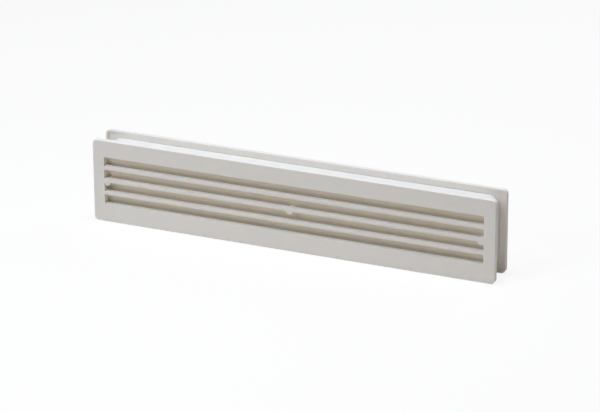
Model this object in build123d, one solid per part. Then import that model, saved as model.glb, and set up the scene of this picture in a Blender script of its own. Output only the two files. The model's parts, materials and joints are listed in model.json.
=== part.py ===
# Two-part louvred vent grille for a door panel, millimetres.
# X runs along the width, Y from the front face to the rear face, Z up.
# The origin is the centre of the closed grille.
import os
from math import radians, tan

from build123d import *

# Flange plates, one outline for both halves
flange_width = 457.0
flange_height = 92.0
flange_corner = 5.0
face_wall = 4.2
rim_depth = 1.3          # rim that seats on the door, behind the wall
rim_width = 2.5
edge_round = 0.8         # rounding of the outer face edge
door_gap = 26.0          # rim to rim with the halves pushed together

# Collars that pass through the door, one inside the other
collar_inset = 7.5       # flange edge to outer collar
collar_corner = 12.0
collar_wall = 1.8
nest_clearance = 0.3     # between the two collars, all round
stop_clearance = 0.3     # left between the halves where they stop

# Slots and louvre blades
slot_count = 4
slot_height = 9.75       # at the back of the wall
slot_pitch = 14.17
slot_block_rise = 1.215  # slot block centre above the flange centre
slot_end_land = 1.4      # inner collar to the end of a slot
sill_fall = 0.8          # slope of the slat tops, down to the front
shelf_wall = 1.6         # shelf that carries a blade behind its slat
blade_setback = 2.3      # back of the wall to the blade
blade_angle = 72.0       # fall of a blade below the horizontal
blade_depth = 1.5        # of a blade, measured along the depth
blade_overlap = 3.0      # reach of a blade below the sill of its slot

# Screws
screw_radius = 1.5       # over the thread
screw_point = 3.0        # length of the taper
screw_point_radius = 0.35
head_radius = 2.6
head_edge = 1.0
head_height = 2.2
cross_length = 3.0
cross_width = 0.8
cross_depth = 1.2

# Posts in the front half and sleeves in the rear half, which take the screws
post_wall = 2.0
post_bite = 0.2          # end posts sunk into the slot ends
post_front_wall = 3.0    # closed front of a post
bore_clearance = 0.05    # thread to post bore
tip_clearance = 0.8      # screw point to the bottom of its bore
sleeve_length = 9.4
sleeve_wall = 0.8
sleeve_clearance = 0.25  # thread to sleeve hole
head_clearance = 0.2     # round the head in its recess
head_depth = 0.8         # head top below the rear face

# Worked out from the sizes above
flange_depth = face_wall + rim_depth
total_depth = door_gap + 2 * flange_depth
nest_step = collar_wall + nest_clearance
collar_end = total_depth - face_wall - stop_clearance
inside_inset = collar_inset + nest_step + collar_wall
inside_corner = collar_corner - nest_step - collar_wall
slot_length = flange_width - 2 * (inside_inset + slot_end_land)
slot_block_height = (slot_count - 1) * slot_pitch + slot_height
slot_tops = [slot_block_rise + slot_block_height / 2 - i * slot_pitch for i in range(slot_count)]
blade_slope = tan(radians(blade_angle))
blade_start = face_wall + blade_setback
blade_drop = slot_height + blade_overlap
blade_reach = blade_drop / blade_slope
louvre_depth = blade_start + blade_reach + blade_depth
louvre_top = slot_tops[0] + shelf_wall
louvre_bottom = slot_tops[-1] - blade_drop
bore_radius = screw_radius + bore_clearance
post_radius = bore_radius + post_wall
post_offset = slot_length / 2 + post_bite - post_radius
post_places = [-post_offset, 0.0, post_offset]
post_height = slot_tops[slot_count // 2]
post_end = total_depth - sleeve_length - stop_clearance
recess_radius = head_radius + head_clearance
recess_depth = head_depth + head_height
sleeve_radius = recess_radius + sleeve_wall
screw_length = total_depth - recess_depth - post_front_wall - tip_clearance


def slab(outline, start, end):
    """Outline seen from the front, made solid from one depth to another."""
    return extrude(Plane.XZ.offset(-start) * outline, amount=start - end)


def rod(radius, start, end, x):
    """Round bar along the depth at one of the screw places."""
    return slab(Pos(x, post_height) * Circle(radius), start, end)


def flange():
    """Dished plate: flat face, rounded outer edge and a rim towards the door."""
    plate = slab(RectangleRounded(flange_width, flange_height, flange_corner), 0, flange_depth)
    plate = fillet(plate.faces().sort_by(Axis.Y)[0].edges(), edge_round)
    dish = RectangleRounded(
        flange_width - 2 * rim_width,
        flange_height - 2 * rim_width,
        flange_corner - rim_width,
    )
    return plate - slab(dish, face_wall, flange_depth)


def lengthwise(*section):
    """Depth and height points made solid along the slots."""
    return extrude(Plane.YZ * make_face(Polyline(*section, close=True)), amount=slot_length / 2, both=True)


def slot(top):
    """Opening through the face, with a sill that falls to the front."""
    sill = top - slot_height
    return lengthwise((0, top), (face_wall, top), (face_wall, sill), (0, sill - sill_fall))


def louvre_blade(top):
    """Shelf behind a slat, with a blade that falls from it to below the sill of the slot."""
    tip = top - blade_drop
    crown = top + shelf_wall
    return lengthwise(
        (face_wall / 2, top),
        (blade_start, top),
        (blade_start + blade_reach, tip),
        (louvre_depth, tip),
        (blade_start + blade_depth - shelf_wall / blade_slope, crown),
        (face_wall / 2, crown),
    )


def end_cheeks(clearance):
    """Walls that carry the blade ends, set in from the inside of the inner collar."""
    inset = inside_inset + clearance
    inside = RectangleRounded(flange_width - 2 * inset, flange_height - 2 * inset, inside_corner - clearance)
    block = Pos(0, louvre_bottom) * Rectangle(
        flange_width,
        louvre_top - louvre_bottom,
        align=(Align.CENTER, Align.MIN),
    )
    return slab((inside & block) - Rectangle(slot_length, flange_height), 0, louvre_depth)


def louvred_flange(cheek_clearance):
    """Flange with its slots, blades and cheeks, face at depth zero."""
    plate = flange() - [slot(top) for top in slot_tops]
    return plate + [louvre_blade(top) for top in slot_tops] + end_cheeks(cheek_clearance)


def collar(outer_inset, outer_corner):
    """Tube with rounded corners that stands on the back of a flange."""
    width = flange_width - 2 * outer_inset
    height = flange_height - 2 * outer_inset
    outside = RectangleRounded(width, height, outer_corner)
    inside = RectangleRounded(
        width - 2 * collar_wall,
        height - 2 * collar_wall,
        outer_corner - collar_wall,
    )
    return slab(outside - inside, face_wall / 2, collar_end)


def front_grille():
    """Near half: outer collar and three blind posts for the screws."""
    half = louvred_flange(nest_clearance) + collar(collar_inset, collar_corner)
    half += [rod(post_radius, 0, post_end, x) for x in post_places]
    half -= [rod(bore_radius, post_front_wall, post_end, x) for x in post_places]
    return Pos(0, -total_depth / 2, 0) * half


def rear_grille():
    """Far half: inner collar, blades notched round the posts, and sleeves that take the screw heads."""
    half = louvred_flange(0) + collar(collar_inset + nest_step, collar_corner - nest_step)
    half -= [rod(post_radius + stop_clearance, sleeve_length, louvre_depth, x) for x in post_places]
    half += [rod(sleeve_radius, 0, sleeve_length, x) for x in post_places]
    half -= [rod(screw_radius + sleeve_clearance, 0, sleeve_length, x) for x in post_places]
    half -= [rod(recess_radius, 0, recess_depth, x) for x in post_places]
    return Pos(0, total_depth / 2, 0) * mirror(half, about=Plane.XZ)


def fixing_screw():
    """Pan-head screw along the depth, seat of the head at depth zero, point towards the front."""
    profile = Polyline(
        (0, head_height),
        (0, -screw_length),
        (screw_point_radius, -screw_length),
        (screw_radius, screw_point - screw_length),
        (screw_radius, 0),
        (head_radius, 0),
        (head_radius, head_edge),
    )
    dome = EllipticalCenterArc((0, head_edge), head_radius, head_height - head_edge, arc_size=90)
    screw = revolve(make_face(profile + dome), Axis.Y)
    recess = Rectangle(cross_length, cross_width) + Rectangle(cross_width, cross_length)
    return screw - slab(recess, head_height - cross_depth, head_height)


def fixing_screws():
    """The three screws in their sleeves."""
    seat = total_depth / 2 - recess_depth
    return Compound(children=[Pos(x, seat, post_height) * fixing_screw() for x in post_places])


os.makedirs("parts", exist_ok=True)
export_step(front_grille(), "parts/front_grille.step")
export_step(rear_grille(), "parts/rear_grille.step")
export_step(fixing_screws(), "parts/fixing_screws.step")
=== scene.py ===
# %% [markdown]
# A door vent grille is two white plastic mouldings that clamp a door between them, so that air can
# pass from one side to the other. Both halves and their three screws come in from CAD at their real
# size, in metres, and stay where they are. This lesson gives them their finish, cuts real threads on
# the screws, and sets up the studio and the camera.

# %% Load the grille
import json
from math import cos, pi, radians, sin

import bmesh
import bpy
from mathutils import Matrix, Vector

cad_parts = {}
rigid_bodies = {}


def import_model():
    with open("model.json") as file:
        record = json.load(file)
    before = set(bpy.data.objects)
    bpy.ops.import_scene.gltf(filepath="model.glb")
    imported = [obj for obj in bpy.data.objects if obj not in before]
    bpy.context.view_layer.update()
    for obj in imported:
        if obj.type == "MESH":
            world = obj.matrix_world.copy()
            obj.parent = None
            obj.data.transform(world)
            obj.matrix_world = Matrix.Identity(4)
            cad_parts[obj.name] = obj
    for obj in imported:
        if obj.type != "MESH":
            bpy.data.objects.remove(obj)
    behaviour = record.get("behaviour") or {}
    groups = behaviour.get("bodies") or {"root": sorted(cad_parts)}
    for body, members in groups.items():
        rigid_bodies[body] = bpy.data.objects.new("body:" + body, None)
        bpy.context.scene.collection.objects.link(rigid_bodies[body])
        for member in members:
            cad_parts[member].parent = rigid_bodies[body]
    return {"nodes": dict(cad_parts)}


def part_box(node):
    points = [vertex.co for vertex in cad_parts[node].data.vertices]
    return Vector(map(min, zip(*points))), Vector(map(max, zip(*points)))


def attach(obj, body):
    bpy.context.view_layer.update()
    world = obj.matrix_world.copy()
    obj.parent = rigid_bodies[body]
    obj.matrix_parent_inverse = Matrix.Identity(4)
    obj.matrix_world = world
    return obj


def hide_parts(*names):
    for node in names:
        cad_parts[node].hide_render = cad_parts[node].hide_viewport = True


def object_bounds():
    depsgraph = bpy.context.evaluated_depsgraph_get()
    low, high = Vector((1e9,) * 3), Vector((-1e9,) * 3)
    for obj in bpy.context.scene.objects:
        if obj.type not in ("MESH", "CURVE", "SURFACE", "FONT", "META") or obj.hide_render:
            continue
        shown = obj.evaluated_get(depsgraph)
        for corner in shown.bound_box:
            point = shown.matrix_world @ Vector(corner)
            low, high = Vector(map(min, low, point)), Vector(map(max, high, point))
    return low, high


for leftover in list(bpy.data.objects):
    bpy.data.objects.remove(leftover)
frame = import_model()
bpy.context.view_layer.update()
cad_low, cad_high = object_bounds()
front_half = frame["nodes"]["front_grille"]
rear_half = frame["nodes"]["rear_grille"]
print("grille in millimetres:", [round(size * 1000, 1) for size in cad_high - cad_low])

# %% [markdown]
# The grille was pictured from above and from its right, through a long lens, so its long edges stay
# almost parallel. A camera can be dragged into place by eye, but angles and a distance say more and can
# be repeated: two turns round the object, a slight roll, the distance to the middle of the front face,
# and how far that point lies from the middle of the picture. The lens is written in picture widths.

# %% Camera
MM = 0.001
view_turn = radians(23.818)
view_height = radians(21.829)
view_roll = radians(-0.312)
view_distance = 3345.83 * MM
face_right_of_middle = -11.08 * MM
face_above_middle = -4.65 * MM
lens_in_picture_widths = 5.358

forward = Vector((-sin(view_turn) * cos(view_height), cos(view_turn) * cos(view_height), -sin(view_height)))
level = Vector((cos(view_turn), sin(view_turn), 0))
upright = level.cross(forward)
right = cos(view_roll) * level + sin(view_roll) * upright
up = cos(view_roll) * upright - sin(view_roll) * level
face_middle = Vector((0, cad_low.y, 0))
camera_place = (face_middle - view_distance * forward
                - face_right_of_middle * right - face_above_middle * up)

lens = bpy.data.cameras.new("long_lens")
lens.sensor_fit = "HORIZONTAL"
lens.lens = lens_in_picture_widths * lens.sensor_width
camera = bpy.data.objects.new("camera", lens)
camera.matrix_world = Matrix.Translation(camera_place) @ Matrix((right, up, -forward)).transposed().to_4x4()
bpy.context.scene.collection.objects.link(camera)
bpy.context.scene.camera = camera
bpy.context.scene.view_settings.view_transform = "Standard"
print("lens", round(lens.lens, 1), "mm, camera at", [round(c, 3) for c in camera_place])

# %% [markdown]
# Every finish below is a small node graph. Two helpers keep those graphs readable: one adds a node and
# sets its plain inputs, the other joins an output to an input.

# %% Node helpers
def add_node(tree, kind, settings=None, **inputs):
    """New node, with its own settings and with its sockets set by name (spaces written as _)."""
    node = tree.nodes.new(kind)
    for name, value in (settings or {}).items():
        setattr(node, name, value)
    for name, value in inputs.items():
        node.inputs[name.replace("_", " ")].default_value = value
    return node


def join(tree, source, output, target, entry):
    tree.links.new(source.outputs[output], target.inputs[entry])


print("helpers:", add_node.__name__, "and", join.__name__)

# %% [markdown]
# The backdrop is plain white. Very strong lamps would bleach it, and the grille with it, so it is left
# to a switch instead: where the camera looks straight at it, or sees it mirrored, it shows its own
# steady white. All other light that comes from it is as weak as it really is.

# %% White where it is seen
def seen_directly(tree):
    """One for camera, glossy and transmission rays, zero for light that bounces about."""
    path = add_node(tree, "ShaderNodeLightPath")
    either = add_node(tree, "ShaderNodeMath", {"operation": "MAXIMUM"})
    any_of_them = add_node(tree, "ShaderNodeMath", {"operation": "MAXIMUM"})
    join(tree, path, "Is Camera Ray", either, 0)
    join(tree, path, "Is Glossy Ray", either, 1)
    join(tree, either, 0, any_of_them, 0)
    join(tree, path, "Is Transmission Ray", any_of_them, 1)
    return any_of_them


print("switch:", seen_directly.__doc__)

# %% [markdown]
# The floor is a plain pale sheet just under the grille. It should be as white as the backdrop and still
# keep the shadow, so most of what the camera sees is its own steady white, and the rest is light that
# really falls on it. For all other rays it is only a pale sandy surface, and the light that it throws
# back up is what warms the undersides of the louvres.

# %% Floor
floor_half_width = 6.0
floor_colour = (0.74, 0.70, 0.64, 1)
floor_white = (1, 1, 1, 1)
floor_steady_white = 0.86


def floor_finish():
    material = bpy.data.materials.new("pale_floor")
    material.use_nodes = True
    tree = material.node_tree
    tree.nodes.clear()
    seen = seen_directly(tree)
    share = add_node(tree, "ShaderNodeMath", {"operation": "MULTIPLY"})
    share.inputs[1].default_value = floor_steady_white
    colour = add_node(tree, "ShaderNodeMix", {"data_type": "RGBA"})
    colour.inputs[6].default_value = floor_colour
    colour.inputs[7].default_value = floor_white
    lit = add_node(tree, "ShaderNodeBsdfDiffuse")
    white = add_node(tree, "ShaderNodeEmission", Strength=1.0)
    mixed = add_node(tree, "ShaderNodeMixShader")
    result = add_node(tree, "ShaderNodeOutputMaterial")
    join(tree, seen, 0, colour, 0)
    join(tree, colour, 2, lit, "Color")
    join(tree, seen, 0, share, 0)
    join(tree, share, 0, mixed, "Fac")
    join(tree, lit, 0, mixed, 1)
    join(tree, white, 0, mixed, 2)
    join(tree, mixed, 0, result, "Surface")
    return material


def flat_sheet(name, half_width, height):
    mesh = bpy.data.meshes.new(name)
    corners = [(x * half_width, y * half_width, height) for x, y in ((-1, -1), (1, -1), (1, 1), (-1, 1))]
    mesh.from_pydata(corners, [], [(0, 1, 2, 3)])
    sheet = bpy.data.objects.new(name, mesh)
    bpy.context.scene.collection.objects.link(sheet)
    return sheet


floor = flat_sheet("floor", floor_half_width, cad_low.z)
floor.data.materials.append(floor_finish())
print("floor at", round(floor.data.vertices[0].co.z * 1000, 1), "mm")

# %% [markdown]
# The light is a studio's, from soft boxes, which square area lamps stand in for. All of them point at the
# middle of the grille. The strong one hangs overhead, so top faces come out nearly white and the upright
# face a light grey. One hangs high in front: it is too steep to reach the blades, so it lights the sloped
# tops of the slats. A lower one on the left shines into the slots and throws the shadow of the middle post
# on its blade. A weak one on the right opens the shade behind the near flange, and one behind shows the
# rear half.

# %% Lamps
def soft_box(name, place, size, watts, colour):
    lamp = bpy.data.lights.new(name, "AREA")
    lamp.shape = "SQUARE"
    lamp.size = size
    lamp.energy = watts
    lamp.color = colour
    box = bpy.data.objects.new(name, lamp)
    box.location = place
    box.rotation_mode = "QUATERNION"
    box.rotation_quaternion = (-Vector(place)).to_track_quat("-Z", "Y")
    bpy.context.scene.collection.objects.link(box)


soft_box("overhead_box", place=(0, -0.03, 1.7), size=0.4, watts=16.8, colour=(0.92, 0.94, 1.0))
soft_box("slat_box", place=(-0.6, -0.75, 1.55), size=0.4, watts=7.9, colour=(0.86, 0.92, 1.0))
soft_box("front_box", place=(-0.92, -1.48, 0.94), size=0.5, watts=8.0, colour=(0.93, 0.95, 1.0))
soft_box("fill_box", place=(1.0, -1.6, 0.75), size=0.6, watts=2.4, colour=(1.0, 0.93, 0.87))
soft_box("back_box", place=(0.8, 1.7, 0.9), size=0.8, watts=8.0, colour=(0.97, 0.98, 1.0))

# %% [markdown]
# The room around the studio gives back a faint warm glow, which lifts the deepest shade a little. Where
# the camera looks past the floor, it sees the white backdrop instead, by the same switch as on the floor.

# %% Room
glow_colour = (1.0, 0.9, 0.8, 1)
glow_strength = 0.02
backdrop_white = (1, 1, 1, 1)


def room():
    world = bpy.data.worlds.new("room")
    world.use_nodes = True
    tree = world.node_tree
    tree.nodes.clear()
    glow = add_node(tree, "ShaderNodeBackground", Color=glow_colour, Strength=glow_strength)
    white = add_node(tree, "ShaderNodeBackground", Color=backdrop_white, Strength=1.0)
    mixed = add_node(tree, "ShaderNodeMixShader")
    result = add_node(tree, "ShaderNodeOutputWorld")
    join(tree, seen_directly(tree), 0, mixed, "Fac")
    join(tree, glow, 0, mixed, 1)
    join(tree, white, 0, mixed, 2)
    join(tree, mixed, 0, result, "Surface")
    return world


bpy.context.scene.world = room()
print("room glow:", glow_strength)

# %% [markdown]
# Inside the duct the white looks warm and cream: light gets there only from wall to wall, warmer at each
# bounce.
# That warm shade is painted into the colour of the plastic here. It could be painted on by hand, but the
# CAD mesh stays as it is and a rule is easier to change, so a mask tells that shaded region from the open
# faces.
# It asks how deep a point lies within three limits, the ends of the duct and its walls, and takes the
# least of the three depths.

# %% Painted shade inside the duct
face_thickness = 4.2 * MM
edge_to_duct = 10.5 * MM
duct_blend = 1 * MM
duct_end = cad_high - Vector((edge_to_duct, face_thickness, edge_to_duct))


def duct_shade_mask(tree, place):
    """Mask of the painted shade: one on the louvres and the walls inside the collar, zero on the faces and
    the outside.
    """
    distance = add_node(tree, "ShaderNodeVectorMath", {"operation": "ABSOLUTE"})
    depth = add_node(tree, "ShaderNodeVectorMath", {"operation": "SUBTRACT"})
    depth.inputs[0].default_value = duct_end
    split = add_node(tree, "ShaderNodeSeparateXYZ")
    least_of_two = add_node(tree, "ShaderNodeMath", {"operation": "MINIMUM"})
    least = add_node(tree, "ShaderNodeMath", {"operation": "MINIMUM"})
    inside = add_node(tree, "ShaderNodeMapRange", From_Max=duct_blend)
    join(tree, place, "Object", distance, 0)
    join(tree, distance, 0, depth, 1)
    join(tree, depth, 0, split, 0)
    join(tree, split, "X", least_of_two, 0)
    join(tree, split, "Y", least_of_two, 1)
    join(tree, least_of_two, 0, least, 0)
    join(tree, split, "Z", least, 1)
    join(tree, least, 0, inside, "Value")
    return inside


print("duct reaches to", [round(c * 1000, 1) for c in duct_end], "mm from the middle")

# %% [markdown]
# The halves are moulded in white plastic. Such a skin isn't one flat white: the steel of the mould
# leaves a very fine grain, the gloss comes and goes a little along the part, and the tone drifts by a
# percent or two. Noise in the object's own metres gives all three without unwrapping the mesh. Light also
# sinks a few millimetres into the plastic, red furthest, so thin edges and blades glow warmly; subsurface
# scattering does that.

# %% White plastic
plastic_colour = (0.875, 0.86, 0.83, 1)
plastic_drift = (0.86, 0.843, 0.808, 1)
# painted shade: the warm colour that stands in for bounced light inside the duct
painted_duct_shade = (0.955, 0.87, 0.745, 1)
plastic_depth = 2.5 * MM
plastic_depth_share = 0.35
plastic_depth_colour = (1.0, 0.62, 0.36)
plastic_refraction = 1.5
drift_per_metre = 22.0
grain_per_metre = 1900.0
grain_height = 0.06 * MM
grain_strength = 0.25
smoothest, roughest = 0.40, 0.54


def white_plastic():
    material = bpy.data.materials.new("moulded_white_plastic")
    material.use_nodes = True
    tree = material.node_tree
    skin = tree.nodes["Principled BSDF"]
    skin.inputs["IOR"].default_value = plastic_refraction
    skin.inputs["Subsurface Weight"].default_value = plastic_depth_share
    skin.inputs["Subsurface Radius"].default_value = plastic_depth_colour
    skin.inputs["Subsurface Scale"].default_value = plastic_depth
    place = add_node(tree, "ShaderNodeTexCoord")
    drift = add_node(tree, "ShaderNodeTexNoise", Scale=drift_per_metre, Detail=3.0)
    tone = add_node(tree, "ShaderNodeMix", {"data_type": "RGBA"})
    tone.inputs[6].default_value = plastic_colour
    tone.inputs[7].default_value = plastic_drift
    # painted shade: inside the duct the base colour turns warm, as bounced light would make it
    painted_warm_shade = add_node(tree, "ShaderNodeMix", {"data_type": "RGBA"})
    painted_warm_shade.inputs[7].default_value = painted_duct_shade
    gloss = add_node(tree, "ShaderNodeMapRange", To_Min=smoothest, To_Max=roughest)
    grain = add_node(tree, "ShaderNodeTexNoise", Scale=grain_per_metre, Detail=2.0)
    relief = add_node(tree, "ShaderNodeBump", Strength=grain_strength, Distance=grain_height)
    join(tree, place, "Object", drift, "Vector")
    join(tree, place, "Object", grain, "Vector")
    join(tree, drift, "Fac", tone, 0)
    join(tree, duct_shade_mask(tree, place), 0, painted_warm_shade, 0)
    join(tree, tone, 2, painted_warm_shade, 6)
    join(tree, painted_warm_shade, 2, skin, "Base Color")
    join(tree, drift, "Fac", gloss, "Value")
    join(tree, gloss, 0, skin, "Roughness")
    join(tree, grain, "Fac", relief, "Height")
    join(tree, relief, "Normal", skin, "Normal")
    return material


plastic = white_plastic()
for half in (front_half, rear_half):
    half.material_slots[0].material = plastic
    print(half.name, "wears", plastic.name)

# %% [markdown]
# Three self-tapping screws hold the halves together. In CAD they are plain bars; here each gets the
# coarse thread that bites into the plastic post. Their places and length are read from the CAD box, so
# the threaded ones sit where the bars were. The cross takes the very top off the dome of the head, so
# the box ends a little lower than a whole dome would.

# %% Screw sizes from the CAD box
screw_low, screw_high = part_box("fixing_screws")
head_radius = (screw_high.z - screw_low.z) / 2
screw_height = (screw_high.z + screw_low.z) / 2
screw_reach = screw_high.x - head_radius
screw_places = [Vector((x, 0, screw_height)) for x in (-screw_reach, 0, screw_reach)]
head_height = 2.17 * MM
head_edge = 1.0 * MM
seat = screw_high.y - head_height
screw_millimetres = round((screw_high.y - screw_low.y) / MM, 1)
print("screw", screw_millimetres, "mm long at height", round(screw_height / MM, 2), "mm")

# %% [markdown]
# A thread could be swept along a helix, but it is easier to make as one sheet of rings round the axis,
# where the radius of every point depends on its height and its angle: along one turn the ridge climbs by
# one pitch. The rings run from the point up to the seat of the head: a taper at the point, ridges along
# the length, and a plain neck. The pan head above is a short edge and a quarter of an ellipse.

# %% Screw rings
thread_radius = 1.5 * MM
core_radius = 1.05 * MM
thread_pitch = 1.25 * MM
point_length = 3.0 * MM
plain_neck = 1.2 * MM
ridge_half_width = 0.24    # in pitches
tip_share = 0.15           # of the radius, at the very tip
tip_ridge_share = 0.35     # of the ridge, at the very tip
crown_radius = 0.02 * MM   # flat on top of the dome
rings_per_turn = 12
points_per_ring = 36
dome_steps = 8


def thread_ridge(height, angle):
    """How far the ridge stands out at this height and angle, from 0 in the groove to 1 on the crest."""
    phase = (height / thread_pitch - angle / (2 * pi)) % 1
    return max(0, 1 - abs(phase - 0.5) / ridge_half_width)


def shank_radius(height, angle):
    run_in = min(1, (height - screw_low.y) / point_length)
    run_out = min(1, max(0, (seat - plain_neck - height) / thread_pitch))
    ridge = thread_ridge(height, angle) * min(run_out, tip_ridge_share + (1 - tip_ridge_share) * run_in)
    full_radius = core_radius + ridge * (thread_radius - core_radius)
    return (tip_share + (1 - tip_share) * run_in) * full_radius


def screw_rings():
    """Rings of points from the point of the screw to the top of its head."""
    angles = [2 * pi * i / points_per_ring for i in range(points_per_ring)]
    turns = (seat - screw_low.y) / thread_pitch
    count = int(turns * rings_per_turn)
    heights = [screw_low.y + (seat - screw_low.y) * i / count for i in range(count + 1)]
    rings = [[(shank_radius(h, a), h, a) for a in angles] for h in heights]
    rings.append([(head_radius, seat, a) for a in angles])
    for i in range(dome_steps + 1):
        turn = i * pi / (2 * dome_steps)
        rise = head_edge + (head_height - head_edge) * sin(turn)
        rings.append([(head_radius * cos(turn) + crown_radius, seat + rise, a) for a in angles])
    return [[Vector((r * cos(a), h, r * sin(a))) for r, h, a in ring] for ring in rings]


rings = screw_rings()
print("screw:", len(rings), "rings of", points_per_ring, "points")

# %% [markdown]
# Neighbouring rings are joined by a band of four-sided faces, and the first and the last ring are closed
# by one face each. The result is a closed skin, which a boolean can cut.

# %% Screw mesh
def skin_over(rings):
    n = points_per_ring
    faces = []
    for low in range(len(rings) - 1):
        for i in range(n):
            j = (i + 1) % n
            faces.append((low * n + i, (low + 1) * n + i, (low + 1) * n + j, low * n + j))
    faces.append(tuple(range(n)))
    faces.append(tuple(reversed(range((len(rings) - 1) * n, len(rings) * n))))
    mesh = bpy.data.meshes.new("threaded_screw")
    mesh.from_pydata([p for ring in rings for p in ring], [], faces)
    mesh.update()
    return mesh


threaded = skin_over(rings)
print("screw mesh:", len(threaded.vertices), "points")

# %% [markdown]
# The driver's cross is pressed into the head: two tapered wings, narrower at the bottom than at the top.
# Cutting them out with a boolean is quicker than building the head round them. The cut mesh is kept once
# and all three screws share it.

# %% Driver cross
cross_length = 3.0 * MM
cross_width = 0.8 * MM
cross_depth = 1.2 * MM
cutter_rise = 0.5 * MM     # how far the cutter stands out of the head
cutter_share = 1.15        # of the cross, at the top of the cutter
bottom_share = 0.6         # of the cross, at the bottom of the recess


def tapered_wing(turn):
    """One wing of the cross: a block that narrows from above the head to the bottom of the recess."""
    corners = []
    top = screw_high.y + cutter_rise
    bottom = screw_high.y - cross_depth
    for height, share in ((top, cutter_share), (bottom, bottom_share)):
        for x, z in ((-1, -1), (1, -1), (1, 1), (-1, 1)):
            flat = Vector((x * cross_length / 2 * share, z * cross_width / 2 * share))
            flat.rotate(Matrix.Rotation(turn, 2))
            corners.append((flat.x, height, flat.y))
    sides = [(0, 1, 2, 3), (7, 6, 5, 4)] + [(i, i + 4, (i + 1) % 4 + 4, (i + 1) % 4) for i in range(4)]
    mesh = bpy.data.meshes.new("wing")
    mesh.from_pydata(corners, [], sides)
    shape = bmesh.new()
    shape.from_mesh(mesh)
    bmesh.ops.recalc_face_normals(shape, faces=shape.faces)
    shape.to_mesh(mesh)
    shape.free()
    return mesh


def cut_away(mesh, cutter_mesh):
    """Copy of a mesh with another mesh taken out of it."""
    block = bpy.data.objects.new("block", mesh)
    cutter = bpy.data.objects.new("cutter", cutter_mesh)
    for thing in (block, cutter):
        bpy.context.scene.collection.objects.link(thing)
    cut = block.modifiers.new("cut", "BOOLEAN")
    cut.operation = "DIFFERENCE"
    cut.object = cutter
    bpy.context.view_layer.update()
    result = bpy.data.meshes.new_from_object(block.evaluated_get(bpy.context.evaluated_depsgraph_get()))
    for thing in (block, cutter):
        bpy.data.objects.remove(thing)
    return result


for turn in (0, pi / 2):
    threaded = cut_away(threaded, tapered_wing(turn))
threaded.name = "threaded_screw_with_cross"
print("after the cross:", len(threaded.vertices), "points")

# %% [markdown]
# The screws are zinc plated: a thin bright metal skin over steel, slightly blue, with a little haze where
# the plating is uneven. One noise drives both the tone and the gloss, so the hazy spots are the dull ones.

# %% Zinc plating
zinc_bright = (0.66, 0.67, 0.69, 1)
zinc_hazy = (0.55, 0.56, 0.57, 1)
haze_per_metre = 420.0
zinc_smoothest, zinc_roughest = 0.22, 0.42


def zinc_plating():
    material = bpy.data.materials.new("zinc_plating")
    material.use_nodes = True
    tree = material.node_tree
    skin = tree.nodes["Principled BSDF"]
    skin.inputs["Metallic"].default_value = 1.0
    place = add_node(tree, "ShaderNodeTexCoord")
    haze = add_node(tree, "ShaderNodeTexNoise", Scale=haze_per_metre, Detail=4.0)
    tone = add_node(tree, "ShaderNodeMix", {"data_type": "RGBA"})
    tone.inputs[6].default_value = zinc_bright
    tone.inputs[7].default_value = zinc_hazy
    gloss = add_node(tree, "ShaderNodeMapRange", To_Min=zinc_smoothest, To_Max=zinc_roughest)
    join(tree, place, "Object", haze, "Vector")
    join(tree, haze, "Fac", tone, 0)
    join(tree, tone, 2, skin, "Base Color")
    join(tree, haze, "Fac", gloss, "Value")
    join(tree, gloss, 0, skin, "Roughness")
    return material


threaded.materials.clear()
threaded.materials.append(zinc_plating())
print("screws wear", threaded.materials[0].name)

# %% [markdown]
# Each screw takes the place of its plain CAD bar. It rides on the rear half, because its head sits in a
# recess there and goes with that half when the grille is drawn out for a thicker door.

# %% Three screws
for name, place in zip(("left_screw", "middle_screw", "right_screw"), screw_places):
    screw = bpy.data.objects.new(name, threaded)
    screw.location = place
    bpy.context.scene.collection.objects.link(screw)
    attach(screw, "rear_half")
    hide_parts("fixing_screws")
    print(name, "at", [round(c * 1000, 2) for c in place])

# %% [markdown]
# Last, the scene is brought up to date.

# %% Final update
bpy.context.view_layer.update()
